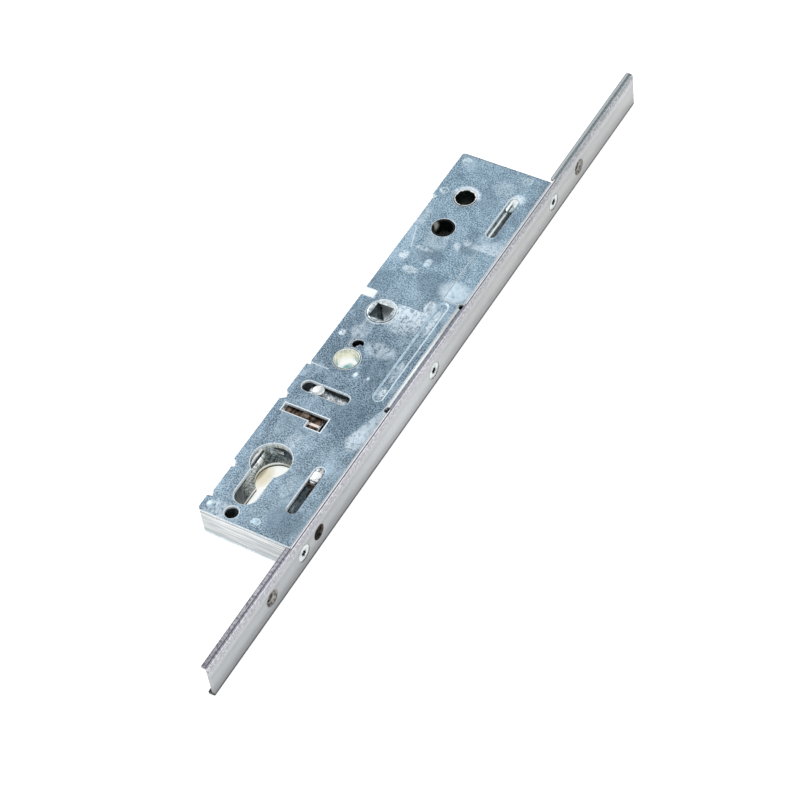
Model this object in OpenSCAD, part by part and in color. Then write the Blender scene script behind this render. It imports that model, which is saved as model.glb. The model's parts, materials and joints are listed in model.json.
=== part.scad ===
// Centre section of a multipoint door lock: gearbox case, channel faceplate and drive rail.
// Millimetres. +X points out of the faceplate, +Y up the lock, +Z out of the case cover.
// The origin is on the axis of the cylinder bore, halfway through the case.

/* [Case] */
// Thickness of the case over both plates
case_t = 16; // [15.4:0.1:17]
// Thickness of the sheet that the case is made of
plate_t = 1.5; // [1.2:0.1:1.8]
// Height of the case above the cylinder axis
case_top = 193; // [192:0.5:200]
// Depth of the case below the cylinder axis
case_bottom = 35; // [35:0.5:40]
// Distance from the cylinder axis to the rear edge of the case
case_back = 15; // [14.8:0.1:17]
// How far the rear edge is set in along the handle part
back_step = 1.2; // [0.8:0.1:1.6]
// How far the rear edge is set in at its notches
notch_in = 2.4; // [2:0.1:2.6]
// Depth of the pressed areas of the cover
press_depth = 0.5; // [0.2:0.05:0.7]
// Width of the small chamfer on punched edges
edge_chamfer = 0.35; // [0.2:0.05:0.4]

/* [Faceplate] */
// Distance from the cylinder axis to the front of the faceplate
backset = 34; // [33.6:0.1:36]
// Width of the faceplate
strip_w = 20; // [19:0.5:24]
// Thickness of the faceplate's web
web_t = 1.6; // [1.5:0.1:1.8]
// Depth of the faceplate's channel over its flanges
flange_depth = 3.5; // [3.4:0.1:4]
// Wall of the two flanges
flange_t = 1.6; // [1.4:0.1:2]
// Radius of the faceplate's front edges
strip_edge_r = 1.4; // [1:0.1:1.5]
// Length of faceplate above the case
strip_above = 77; // [70:1:110]
// Length of faceplate below the case
strip_below = 66; // [64:1:100]
// Distances of the outer two faceplate screws from the lower and upper end of the case
screw_in = [4.5, 4]; // [4:0.1:5]
// Height of the middle faceplate screw
mid_screw_y = 78; // [74:0.5:82]
// Distances of the two fixing holes from the lower and upper end of the case
fix_out = [20.5, 20.8]; // [18:0.1:24]
// Depth of the fixing holes' countersinks
sink_depth = 1.2; // [0.9:0.1:1.3]
// Radius of the heads and countersinks
head_r = 4; // [3.6:0.1:4.2]
// Radius of the faceplate screws
screw_r = 2; // [1.8:0.1:2.1]
// Radius of the fixing holes
fix_r = 2.6; // [2.3:0.1:3]
// Height of the hole for the cylinder's fixing screw
cyl_screw_y = -18.5; // [-19.5:0.5:-17.5]
// Radius of the hole for the cylinder's fixing screw
cyl_screw_r = 3.7; // [3:0.1:4]

/* [Holes] */
// Radius of the round part of the cylinder bore
cyl_r = 9; // [8.8:0.1:9.4]
// Width of the cylinder bore's slot
cyl_slot_w = 10.6; // [10.2:0.1:11]
// Depth of the cylinder bore's slot below the axis
cyl_slot_down = 25; // [24.6:0.2:25.4]
// Distance from the cylinder axis to the handle axis
pz = 92; // [90:0.5:94]
// Side of the square hole for the spindle
square = 8; // [7:0.5:8.5]
// Height of the through hole below the handle axis
through_y = 62; // [61:0.5:63]
// Bore radius of the through hole's bush
through_r = 5.4; // [4.5:0.1:5.6]
// Height of the lower handle screw hole
lower_bush_y = 147.5; // [146:0.5:149]
// Height of the upper handle screw hole
upper_bush_y = 168; // [166:0.5:169]
// Bore radius of the handle screw bushes
bush_r = 4.4; // [3.5:0.1:4.6]
// Wall of the three bushes
bush_wall = 0.8; // [0.7:0.1:1.2]
// Radius of the small hole below the cylinder bore
small_hole_r = 3; // [2:0.1:3.2]

/* [Drive] */
// Travel of the drive slide and rail
drive_travel = 17.5; // [12:0.5:17.5]
// Module of the follower's teeth
tooth_module = 1.5; // [1.4:0.05:1.55]
// Teeth on the follower's whole circle
tooth_count = 26; // [25:1:26]
// Thickness of the drive slide
slide_t = 5; // [4:0.5:6]
// Centre line of the guide slots from the cylinder axis
lug_x = 21.6; // [21.4:0.1:22]
// Width of the guide slots
slot_w = 4.4; // [4:0.1:4.6]
// Length of the guide lugs
lug_l = 8.4; // [7:0.1:8.6]
// Top of the lower guide slot
lower_slot_top = 6; // [5.6:0.1:6.4]
// Top of the upper guide slot
upper_slot_top = 177.2; // [176:0.1:178]
// Width of the drive rail
rail_w = 12.4; // [11:0.2:12.6]
// Thickness of the drive rail
rail_t = 1.8; // [1.5:0.1:1.8]
// Radius of the follower where it turns in the plates
hub_r = 6.5; // [6.2:0.1:6.8]

/* [Deadlock] */
// Travel of the deadlock slide
dead_travel = 8.5; // [6:0.5:8.5]
// Height of the deadlock guide slot
dead_y = 41.7; // [41.5:0.1:42]
// Width of the deadlock guide slot
dead_slot_w = 5.6; // [5:0.1:5.8]
// Thickness of the deadlock slide
dead_t = 4.4; // [3:0.1:4.6]

/* [Springs] */
// Wire radius of the balance spring
wire_r = 0.4; // [0.3:0.05:0.5]
// Mean radius of the balance spring
coil_r = 2.3; // [2:0.1:2.4]
// Turns of the balance spring
coil_turns = 9; // [6:1:12]

/* [Hidden] */
$fn = 48;

e = 0.01;            // overshoot of cuts
fit = 0.06;          // radial clearance of running fits
gap = 0.2;           // side clearance of sliding parts
z_out = case_t / 2;  // outer faces of the plates
z_in = z_out - plate_t;
strip_up = case_top + strip_above;
strip_down = case_bottom + strip_below;
screw_y = [screw_in[0] - case_bottom, mid_screw_y, case_top - screw_in[1]];
fix_y = [-case_bottom - fix_out[0], case_top + fix_out[1]];
bush_y = [lower_bush_y, upper_bush_y];
slot_top = [lower_slot_top, upper_slot_top];
web_x = backset - web_t;
rail_x = web_x - 0.1 - rail_t;    // rear face of the rail
front_x = web_x - 0.8;            // front edge of the plates
bend_x = web_x - 2.5;             // front edge of the cover between its relief holes
wall_front_x = rail_x - 0.8;      // where the end walls stop behind the rail
mid_x = -(case_back - back_step);
bush_x = 0;
through_out = through_r + bush_wall;
bush_out = bush_r + bush_wall + 0.2;
relief = [44.6, 109.7];           // heights of the two relief holes
fold_y = [46.2, 108.1];           // ends of the edge bent down between them
relief_r = 1.2;
fold_z = 3.2;                     // lower edge of the cover's front edge where it is bent down
dead_slot = [-10, 13.3];          // ends of the deadlock guide slot
peg_slot = [-11, 10.8];           // ends of the second slot
peg_band = [25.4, 29.5];          // lower and upper edge of the second slot
step_corner = [3.2, 21.9];        // corner of the second slot's lower step
low_y = 4.6 - case_bottom;        // height of the lower posts
high_y = case_top - 4.4;          // height of the upper posts
small_hole = [-0.6, low_y];
dimple = [4.5, 125.7];            // raised dot on the cover
bead_x = 23.5;                    // centre line of the stiffening bead
bead_y = [47.4, 107.8];           // ends of the bead
bead_w = 4;
set_down_y = [53.4, 54, 97.8, 102]; // lower step and upper ramp of the set-down area
set_down_x = -4.2;                // where the set-down area ends beside the handle axis
track_x = [-3.3, 1];              // pressed track below the handle axis
track_y = [69, 85.2];
seam = [21, 109.3, 141];          // joint line: x, corner y, upper end
seam_w = 0.3;
post_xy = [[4.5 - case_back, low_y], [11.2, low_y], [4.6 - case_back, high_y],
  [front_x - 10.2, high_y], [3.8 - case_back, upper_bush_y]];
post_r = 2;
stub_r = 1.4;
rivet_depth = 0.6;                // depth of the posts' riveted heads
pitch_r = tooth_module * tooth_count / 2;
tooth_pitch = PI * tooth_module;
backlash = 0.16;
rack_root_x = pitch_r + 1.25 * tooth_module; // bottom of the rack's gaps
slot_l = drive_travel + lug_l + gap;
spine_x = [17, 24.3];             // rear and front edge of the drive slide's spine
block_x = spine_x[1] + 0.6;       // rear face of the anchor blocks
stud_y = [60, 120];
rivet_y = [19 - strip_down, strip_up - 34];
block_half = 4.5;                 // half the height of the anchor blocks
arm_half = 5;                     // half the height of the slide's arms to the rail
cam_r = 15.8;                     // room for the cylinder's cam
cam_z = 5.2;
cradle_y = [-cyl_slot_down - plate_t - 0.1, cyl_r + 3];
cradle_front = 12.6;
dead_z = 0.6;                     // underside of the deadlock slide
dead_top = dead_z + dead_t;
slide_y = 15;                     // lower edge of the deadlock slide
slide_x = [-7, 8.2];              // rear and front edge of the deadlock slide
wing = [-11, 20, 36];             // its wing behind the cylinder bore: rear edge, lower and upper end
tooth_x = [-6.3, -0.4];           // its tooth above the cylinder bore
tooth_t = 1.8;
nose_y = [38.2, 44.2];
nose_x = 13.2;
dead_pin_x = -2;
peg_x = 0;
peg_y = (peg_band[0] + peg_band[1]) / 2;
peg_r = (peg_band[1] - peg_band[0]) / 2 - 0.12;
pin_r = dead_slot_w / 2 - 0.1;
tail_top = pz + 3.4;
seat_y = 125;
coil_x = -9.2;
leaf_t = 0.5;
leaf_x = spine_x[0] - 5.35;       // the leaf's foot
notch_y = [140, 140 + drive_travel];

// Stretches of the rear edge: from, to, how far set in
rear_edge = [[-case_bottom + 1.5, -27.2, 0.1], [-26.6, -25.2, notch_in], [-24.6, -10, back_step],
  [-9.6, -7.6, notch_in], [-6, 30.5, 0], [32.2, 34, notch_in], [35.6, 52.3, 0.4],
  [52.5, 54, notch_in], [54.2, 161.8, back_step], [162.2, 163.4, notch_in],
  [163.8, case_top - 1.2, 0]];
// Stretches of the rear wall that are set in
inner_walls = [[-28.7, -4.5], [29, 37.1], [50.8, 165.3]];

// A slot with round ends along Y (or X when flat), cut through z0 to z1
module obround(w, l, z0, z1, flat = false) {
  rotate([0, 0, flat ? -90 : 0]) {
    translate([0, w / 2 - l / 2, z0]) cylinder(d = w, h = z1 - z0);
    translate([0, l / 2 - w / 2, z0]) cylinder(d = w, h = z1 - z0);
    translate([-w / 2, w / 2 - l / 2, z0]) cube([w, l - w, z1 - z0]);
  }
}

// The same slot with sloped walls, from width w at z0 to w + 2 * grow at z1
module sloped_slot(w, l, grow, z0, z1) {
  for (s = [-1, 1]) translate([0, s * (l - w) / 2, z0]) cylinder(r1 = w / 2, r2 = w / 2 + grow, h = z1 - z0);
  translate([0, (l - w) / 2, 0]) rotate([90, 0, 0]) linear_extrude(l - w)
    polygon([[-w / 2, z0], [w / 2, z0], [w / 2 + grow, z1], [-w / 2 - grow, z1]]);
}

// A round hole through z0 to z1 with a chamfer at the outer face z1
module punched(r, z0, z1, c = edge_chamfer) {
  translate([0, 0, z0 - e]) cylinder(r = r, h = z1 - z0 + 2 * e);
  translate([0, 0, z1 - c]) cylinder(r1 = r, r2 = r + c + e, h = c + e);
}

module box(x, y, z) translate([x[0], y[0], z[0]]) cube([x[1] - x[0], y[1] - y[0], z[1] - z[0]]);

module plate_outline() {
  rear = [for (s = rear_edge) for (k = [0, 1]) [-case_back + s[2], s[k]]];
  polygon(concat([[front_x, -case_bottom], [-case_back + 1.1, -case_bottom]], rear,
    [[-case_back + 1.2, case_top], [front_x, case_top]]));
}

// Keyhole outline of the cylinder bore, from z0 to z1
module keyhole(z0, z1, c = 0) {
  slot_r = cyl_slot_w / 2;
  translate([0, 0, z0]) cylinder(r = cyl_r, h = z1 - z0);
  translate([0, slot_r - cyl_slot_down, z0]) cylinder(r = slot_r, h = z1 - z0);
  box([-slot_r, slot_r], [slot_r - cyl_slot_down, 0], [z0, z1]);
  if (c > 0) {
    translate([0, 0, z1 - c]) cylinder(r1 = cyl_r, r2 = cyl_r + c, h = c);
    translate([0, slot_r / 2 - cyl_slot_down / 2, 0])
      sloped_slot(cyl_slot_w, cyl_slot_down + slot_r, c, z1 - c, z1);
  }
}

// Openings that both plates share, cut from z0 to the outer face z1
module shared_cuts(z0, z1) {
  c = edge_chamfer;
  keyhole(z0 - e, z1 + e, c);
  for (t = slot_top) translate([lug_x, t - slot_l / 2, 0]) {
    obround(slot_w, slot_l, z0 - e, z1 + e);
    sloped_slot(slot_w, slot_l, c, z1 - c, z1 + e);
  }
  translate([(dead_slot[0] + dead_slot[1]) / 2, dead_y, 0]) {
    obround(dead_slot_w, dead_slot[1] - dead_slot[0], z0 - e, z1 + e, true);
    rotate(90) sloped_slot(dead_slot_w, dead_slot[1] - dead_slot[0], c, z1 - c, z1 + e);
  }
  translate([0, pz, 0]) punched(hub_r + fit, z0, z1);
  translate([bush_x, through_y, 0]) punched(through_out, z0, z1, 0.2);
  for (y = bush_y) translate([bush_x, y, 0]) punched(bush_out, z0, z1, 0.2);
  translate([small_hole[0], small_hole[1], 0]) punched(small_hole_r, z0, z1);
  for (p = post_xy) translate([p[0], p[1], 0]) {
    translate([0, 0, z0 - e]) cylinder(r = stub_r, h = z1 - z0 + 2 * e);
    rivet_cone(z1, e);
  }
}

// Countersink or riveted head of a spacer post at the outer face z1, run on past it by over
module rivet_cone(z1, over = 0) {
  slope = (post_r - stub_r) / rivet_depth;
  translate([0, 0, z1 - rivet_depth])
    cylinder(r1 = stub_r, r2 = post_r + slope * over, h = rivet_depth + over);
}

// Flat back plate of the case
module back_plate() color([0.62, 0.7, 0.74]) difference() {
  translate([0, 0, -z_out]) linear_extrude(plate_t) plate_outline();
  mirror([0, 0, 1]) shared_cuts(z_in, z_out);
}

// Folded wall between the two plates: both end walls and the stepped rear wall
module case_rim() color([0.66, 0.73, 0.76]) difference() {
  union() {
    box([1.1 - case_back, wall_front_x], [-case_bottom, plate_t - case_bottom], [-z_in, z_in]);
    box([1.2 - case_back, wall_front_x], [case_top - plate_t, case_top], [-z_in, z_in]);
    for (s = rear_edge) if (s[2] < notch_in)
      translate([s[2] - case_back, s[0] - e, -z_in]) cube([plate_t, s[1] - s[0] + 2 * e, 2 * z_in]);
    // stretches set in under the plates' notches and steps
    for (y = inner_walls) box([mid_x, mid_x + plate_t], y, [-z_in, z_in]);
  }
  for (s = rear_edge) if (s[2] == notch_in)
    box([-case_back - 1, mid_x + plate_t + 1], [s[0], s[1]], [0, z_in + 1]);
  // window for the cam
  box([-case_back - 1, -cyl_r], [-5, 28], [-cam_z, cam_z]);
}

module cover_pressings() {
  d = press_depth;
  // stiffening bead along the faceplate
  translate([bead_x, (bead_y[0] + bead_y[1]) / 2, 0])
    sloped_slot(bead_w, bead_y[1] - bead_y[0], 0.6, z_out - d, z_out + e);
  // set-down area behind the handle axis, with a long ramp at its top
  translate([-case_back - 1, 0, 0]) rotate([90, 0, 90]) linear_extrude(case_back + 1 + set_down_x)
    polygon([for (i = [0:3]) [set_down_y[i], i == 0 || i == 3 ? z_out + e : z_out - d]]);
  // track between the handle axis and the through hole
  box(track_x, track_y, [z_out - d, z_out + e]);
  // joint line along the drive
  box([seam[0], seam[0] + seam_w], [seam[1], seam[2]], [z_out - 0.2, z_out + e]);
  box([seam[0], bend_x], [seam[1], seam[1] + seam_w], [z_out - 0.2, z_out + e]);
}

module second_slot(z0, z1) {
  box(peg_slot, peg_band, [z0, z1]);
  box([step_corner[0], peg_slot[1]], [step_corner[1], peg_band[0] + e], [z0, z1]);
}

// Front plate with the punched openings and pressed areas
module case_cover() color([0.62, 0.72, 0.76]) difference() {
  union() {
    translate([0, 0, z_in]) linear_extrude(plate_t) plate_outline();
    for (s = [-1, 1]) translate([dimple[0], dimple[1] + s, z_out - e]) cylinder(r1 = 1.5, r2 = 0.9, h = 0.35);
    // front edge bent down between the two relief holes
    box([bend_x - plate_t, bend_x], fold_y, [fold_z, z_in + e]);
  }
  shared_cuts(z_in, z_out);
  second_slot(z_in - e, z_out + e);
  cover_pressings();
  // cut in front of the bent edge
  box([bend_x, front_x + 1], relief, [z_in - e, z_out + e]);
  for (y = relief) translate([bend_x + relief_r / 2, y, 0]) punched(relief_r, z_in, z_out, 0.2);
  // curved cut above the through hole
  translate([0.1, through_y + 9.6, z_in - e]) difference() {
    cylinder(r = 2.7, h = plate_t + 2 * e);
    translate([1.4, -1.7, -e]) cylinder(r = 1.5, h = plate_t + 4 * e);
  }
  // chamfer on the front edge
  edges = [[-case_bottom, relief[0], front_x], [relief[0], relief[1], bend_x],
    [relief[1], case_top, front_x]];
  for (s = edges) translate([s[2], s[1], z_out]) rotate([90, 0, 0]) linear_extrude(s[1] - s[0])
    polygon([[-0.6, e], [e, e], [e, -0.6]]);
}

module channel_profile() {
  r = strip_edge_r;
  rear = backset - flange_depth;
  difference() {
    union() {
      translate([rear, -strip_w / 2]) square([flange_depth - r, strip_w]);
      translate([rear, r - strip_w / 2]) square([flange_depth, strip_w - 2 * r]);
      for (s = [-1, 1]) translate([backset - r, s * (strip_w / 2 - r)]) circle(r = r);
    }
    translate([rear - 1, flange_t - strip_w / 2]) square([web_x - rear + 1, strip_w - 2 * flange_t]);
  }
}

// A hole along X through the web, with a countersink of radius c and the given depth at the front
module web_hole(y, r, c, depth) translate([0, y, 0]) rotate([0, 90, 0]) {
  translate([0, 0, web_x - 5]) cylinder(r = r, h = 12);
  if (c > r) {
    translate([0, 0, backset - depth]) cylinder(r1 = r, r2 = c, h = depth);
    translate([0, 0, backset - e]) cylinder(r = c, h = 1);
  }
}

module faceplate() color([0.78, 0.78, 0.78]) difference() {
  translate([0, strip_up, 0]) rotate([90, 0, 0]) linear_extrude(strip_up + strip_down) channel_profile();
  // flanges are cut away where the case sits
  box([backset - flange_depth - 1, web_x], [-case_bottom - 1.5, case_top + 0.4], [-strip_w, strip_w]);
  for (y = screw_y) web_hole(y, screw_r + 0.2, head_r + 0.1, head_r - screw_r);
  for (y = fix_y) web_hole(y, fix_r, head_r, sink_depth);
  web_hole(cyl_screw_y, cyl_screw_r, cyl_screw_r, 0);
  for (y = rivet_y) translate([web_x - e, y, 0]) rotate([0, 90, 0]) cylinder(r = 2.3, h = 1 + e);
}

// Countersunk screws with a six-lobed recess
module faceplate_screws() color([0.85, 0.86, 0.86])
  for (y = screw_y) translate([0, y, 0]) rotate([0, 90, 0]) difference() {
    cone = head_r - screw_r;
    union() {
      translate([0, 0, block_x + 0.4]) cylinder(r = screw_r, h = backset - 0.2 - block_x - 0.4);
      translate([0, 0, backset - 0.1 - cone]) cylinder(r1 = screw_r, r2 = head_r, h = cone);
    }
    translate([0, 0, backset - 2]) {
      cylinder(r = 1.25, h = 3);
      for (a = [0:60:300]) rotate(a) translate([1.3, 0, 0]) cylinder(r = 0.45, h = 3, $fn = 24);
    }
  }

// Threaded blocks between the plates that take the faceplate screws
module anchor_blocks() color([0.72, 0.73, 0.72]) for (y = screw_y) difference() {
  low = max(y - block_half, plate_t - case_bottom);
  high = min(y + block_half, case_top - plate_t);
  box([block_x, wall_front_x + 0.4], [low, high], [-z_in, z_in]);
  translate([block_x - 1, y, 0]) rotate([0, 90, 0]) cylinder(r = screw_r + fit, h = 12);
  // room for the cover's bent edge
  box([bend_x - plate_t - 0.1, front_x], [fold_y[0] - 1, fold_y[1] + 1], [fold_z - 0.1, z_in + 1]);
}

// Posts riveted between the two plates
module spacer_posts() color([0.7, 0.76, 0.8]) for (p = post_xy) translate([p[0], p[1], 0]) {
  translate([0, 0, -z_in]) cylinder(r = post_r, h = 2 * z_in);
  translate([0, 0, -z_out]) cylinder(r = stub_r, h = case_t);
  for (m = [0, 1]) mirror([0, 0, m]) rivet_cone(z_out);
}

// Cast block that lines the cylinder bore and leaves a round space for the cam
module cylinder_cradle() color([0.75, 0.76, 0.75]) difference() {
  box([mid_x + plate_t + 0.1, cradle_front], cradle_y, [-z_in, z_in]);
  keyhole(-z_in - 1, z_in + 1);
  translate([0, 0, -cam_z]) cylinder(r = cam_r, h = 2 * cam_z);
  // way of the deadlock slide's tooth
  box([0, cradle_front + 1], [6, cradle_y[1] + 1], [-cam_z, cam_z]);
  translate([0, cyl_screw_y, 0]) rotate([0, 90, 0]) cylinder(r = 2.8, h = 20);
}

module bush(y, out, bore) translate([bush_x, y, 0]) difference() {
  union() {
    translate([0, 0, -z_out]) cylinder(r = out, h = case_t);
    translate([0, 0, -z_in]) cylinder(r = out + 0.7, h = 2 * z_in);
  }
  mirror([0, 0, 1]) punched(bore, 0, z_out, 0.3);
  punched(bore, 0, z_out, 0.3);
}

module through_bush() color([0.85, 0.86, 0.84]) bush(through_y, through_out, through_r);
module handle_bush_upper() color([0.25, 0.27, 0.28]) bush(bush_y[1], bush_out, bush_r);
module handle_bush_lower() color([0.08, 0.08, 0.09]) bush(bush_y[0], bush_out, bush_r);

// Block with a peg that the balance spring pushes against
module spring_seat() color([0.72, 0.73, 0.72]) {
  box([mid_x + plate_t + 0.1, -5.9], [seat_y, seat_y + 4], [-z_in, z_in]);
  translate([coil_x, seat_y, 0]) rotate([90, 0, 0]) cylinder(r = coil_r - wire_r - 0.2, h = 4);
}

// Coil spring between the follower's tail and its seat
module balance_spring() color([0.6, 0.6, 0.58]) {
  steps = 12;
  sides = 6;
  y0 = tail_top + wire_r;
  y1 = seat_y - wire_r;
  rings = coil_turns * steps;
  rise = (y1 - y0) / rings;
  echo(coil_gap = (y1 - y0) / coil_turns - 2 * wire_r);
  points = [for (i = [0:rings]) for (k = [0:sides - 1])
    let (a = 360 * i / steps, b = 360 * k / sides, r = coil_r + wire_r * cos(b))
    [coil_x + r * cos(a), y0 + i * rise + wire_r * sin(b), r * sin(a)]];
  side_faces = [for (i = [0:rings - 1]) for (k = [0:sides - 1])
    let (n = (k + 1) % sides, a = i * sides, b = a + sides) each
    [[a + k, b + k, a + n], [a + n, b + k, b + n]]];
  first = [for (k = [1:sides - 2]) [0, k, k + 1]];
  last = [for (k = [1:sides - 2]) [rings * sides, rings * sides + k + 1, rings * sides + k]];
  polyhedron(points, concat(side_faces, first, last));
}

// Block that holds the detent leaf
module detent_block() color([0.72, 0.73, 0.72]) {
  face_x = leaf_x - leaf_t / 2;
  box([face_x - 3, face_x], [notch_y[0] - 14, notch_y[0] - 7], [-z_in, z_in]);
}

// Leaf spring whose bump drops into the notches of the drive slide
module detent_leaf() color([0.55, 0.56, 0.58]) {
  face = spine_x[0];
  path = [[leaf_x, -14], [leaf_x, -8], [face - 1.2, -3], [face + 0.2, 0], [face - 1.2, 3], [face - 2.2, 5.5]];
  translate([0, notch_y[0], -4]) linear_extrude(8) for (i = [0:len(path) - 2])
    hull() for (k = [0, 1]) translate(path[i + k]) circle(d = leaf_t, $fn = 16);
}

// Headed rivets that hold the rail in the channel and let it slide
module rail_rivets() color([0.7, 0.72, 0.72]) for (y = rivet_y) translate([0, y, 0]) rotate([0, 90, 0]) {
  translate([0, 0, rail_x - 0.1]) cylinder(r = 2.3, h = web_x + 1 - rail_x + 0.1);
  translate([0, 0, rail_x - 1.1]) cylinder(r = 4, h = 1);
}

// Involute tooth of the follower, centred on the X axis
function inv(a) = tan(a) * 180 / PI - a;
function flank(r, base) = 90 / tooth_count - backlash / (2 * pitch_r) * 180 / PI
  + inv(20) - inv(acos(min(1, base / r)));
module tooth() {
  base = pitch_r * cos(20);
  tip = pitch_r + tooth_module;
  radii = [for (i = [0:5]) base + (tip - base) * i / 5];
  root = pitch_r - 1.25 * tooth_module - 0.3;
  up = concat([[root, flank(base, base)]], [for (r = radii) [r, flank(r, base)]]);
  polygon(concat([for (p = up) [p[0] * cos(p[1]), -p[0] * sin(p[1])]],
    [for (i = [len(up) - 1:-1:0]) [up[i][0] * cos(up[i][1]), up[i][0] * sin(up[i][1])]]));
}

// Hub with the square hole, a toothed sector and a tail for the spring
module follower() color([0.7, 0.72, 0.72]) translate([0, pz, 0]) difference() {
  root = pitch_r - 1.25 * tooth_module;
  union() {
    translate([0, 0, -z_out]) cylinder(r = hub_r, h = case_t);
    translate([0, 0, gap - z_in]) cylinder(r = hub_r + 0.7, h = 2 * (z_in - gap));
    translate([0, 0, gap - slide_t / 2]) linear_extrude(slide_t - 2 * gap) {
      for (k = [-1:5]) rotate(k * 360 / tooth_count) tooth();
      intersection() {
        circle(r = root, $fn = 96);
        polygon([[0, 0], [40 * cos(-19), 40 * sin(-19)], [40, 0], [40 * cos(38), 40 * sin(38)],
          [40 * cos(75), 40 * sin(75)]]);
      }
      translate([-11.4, -1.6]) square([11.4, tail_top - pz - 0.1 + 1.6]);
    }
  }
  cube([square, square, case_t + 1], center = true);
  for (m = [0, 1]) mirror([0, 0, m]) translate([0, 0, z_out - 0.4]) rotate(45)
    cylinder(r1 = square / sqrt(2), r2 = square / sqrt(2) + 0.6, h = 0.5, $fn = 4);
}

// Slide with the rack, the two detent notches, the deadlock notches and the arms to the rail
module drive_slide() color([0.66, 0.67, 0.66]) difference() {
  h = slide_t / 2;
  leg = slot_top[0] - lug_l - gap;
  union() {
    box(spine_x, [12, pz - 1.9 * tooth_pitch], [-h, h]);
    box([rack_root_x, spine_x[1]], [pz - 2 * tooth_pitch, pz + 5.9 * tooth_pitch], [-h, h]);
    box(spine_x, [pz + 5.8 * tooth_pitch, slot_top[1] + 3], [-h, h]);
    box([spine_x[0], spine_x[1] + 3.7], [4, stud_y[0] - 3], [-h, h]);
    // fork that carries the lower lugs clear of the cylinder's fixing screw
    box([spine_x[0], spine_x[1] + 2.1], [leg, 15], [gap - z_in, z_in - gap]);
    // raised bar behind the upper guide slots
    box([lug_x - slot_w / 2, lug_x + 0.3], [slot_top[1] - slot_l, slot_top[1] + 1], [gap - z_in, z_in - gap]);
    for (y = stud_y) box([spine_x[1] - 1, rail_x], [y - arm_half, y + arm_half], [-h, h]);
    translate([pitch_r, pz, -h]) linear_extrude(slide_t)
      for (j = [-2:5]) translate([0, (j + 0.5) * tooth_pitch]) rack_tooth();
  }
  box([spine_x[0] - 1, 30], [leg - 1, 9.5], [-3.2, 3.2]);
  // notches for the deadlock nose, at rest and after the full travel
  for (k = [0, 1]) box([spine_x[0] - 1, nose_x + dead_travel + 0.4],
    [nose_y[0] - 0.3 + k * drive_travel, nose_y[1] + 0.3 + k * drive_travel], [-h - 1, h + 1]);
  for (y = notch_y) translate([spine_x[0], y, -h - 1]) linear_extrude(slide_t + 2)
    polygon([[-1, -4.2], [0.75, -0.6], [0.75, 0.6], [-1, 4.2]]);
  lug_shapes();
  for (y = stud_y) stud(y);
}

// Tooth of the rack, pointing towards the follower
function rack_half(k) = tooth_pitch / 4 - backlash / 4 - k * tooth_module * tan(20);
module rack_tooth() {
  foot = 1.25 * tooth_module + 0.1;
  polygon([[foot, -rack_half(-1.25)], [-tooth_module, -rack_half(1)],
    [-tooth_module, rack_half(1)], [foot, rack_half(-1.25)]]);
}

module lug_shapes() {
  w = slot_w - gap;
  y = [for (t = slot_top) t - gap / 2 - lug_l / 2];
  top = z_out - 0.3;
  translate([lug_x, y[1], 0]) obround(w, lug_l, -top, top);
  for (z = [[-top, -3.2], [3.2, top]]) translate([lug_x, y[0], 0]) obround(w, lug_l, z[0], z[1]);
}

// Oblong lugs that run in the guide slots of both plates
module guide_lugs() color([0.85, 0.86, 0.86]) lug_shapes();

module stud(y) translate([spine_x[1] - 0.5, y, 0]) rotate([0, 90, 0])
  cylinder(r = 2.5, h = web_x - 0.25 - spine_x[1] + 0.5);

// Rivets that join the slide and the rail
module rail_studs() color([0.7, 0.72, 0.72]) for (y = stud_y) stud(y);

// Flat rail behind the faceplate, slotted for every screw and rivet
module drive_rail() color([0.7, 0.74, 0.72]) difference() {
  box([rail_x, rail_x + rail_t], [drive_travel + 1 - strip_down, strip_up - 2], [-rail_w / 2, rail_w / 2]);
  for (h = concat([for (y = screw_y) [y, screw_r + 0.4]], [for (y = fix_y) [y, fix_r + 0.3]],
      [[cyl_screw_y, 2.8]], [for (y = rivet_y) [y, 2.3 + fit]]))
    translate([rail_x - 1, h[0] + drive_travel / 2, 0]) rotate([0, 90, 0])
      obround(2 * h[1], drive_travel + 2 * h[1] + gap, 0, 5);
  for (y = stud_y) stud(y);
}

// Plate pushed by the key: its nose enters the drive slide, its tooth hangs into the cam's path
module deadlock_slide() color([0.78, 0.78, 0.74]) difference() {
  union() {
    box(slide_x, [slide_y, nose_y[1]], [dead_z, dead_top]);
    box([wing[0], slide_x[1]], [wing[1], wing[2]], [dead_z, dead_top]);
    box([slide_x[1] - 0.2, nose_x], nose_y, [dead_z, dead_top]);
    box(tooth_x, [cyl_r + 0.15, slide_y + 1], [dead_z, dead_z + tooth_t]);
  }
  dead_pin_shapes();
}

module dead_pin_shapes() {
  translate([dead_pin_x, dead_y, 0.3 - z_out]) cylinder(r = pin_r, h = case_t - 0.6);
  translate([peg_x, peg_y, dead_z]) cylinder(r = peg_r, h = z_out - 0.5 - dead_z);
}

// Guide pin of the slot in both plates and peg of the second slot
module deadlock_pins() color([0.9, 0.9, 0.9]) dead_pin_shapes();

// Brown leaf under the second slot that keeps the slide from rattling
module deadlock_leaf() color([0.42, 0.34, 0.26]) difference() {
  box([wing[0] + 0.6, slide_x[1] - 0.4], [wing[1] + 0.6, wing[2] - 2.6], [dead_top, dead_top + leaf_t]);
  dead_pin_shapes();
}

back_plate();
case_rim();
case_cover();
faceplate();
faceplate_screws();
anchor_blocks();
spacer_posts();
cylinder_cradle();
through_bush();
handle_bush_upper();
handle_bush_lower();
spring_seat();
balance_spring();
detent_block();
detent_leaf();
rail_rivets();
follower();
drive_slide();
guide_lugs();
drive_rail();
rail_studs();
deadlock_slide();
deadlock_pins();
deadlock_leaf();
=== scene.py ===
"""Looks of the centre section of a multipoint door lock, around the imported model."""
import json
import math

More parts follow.
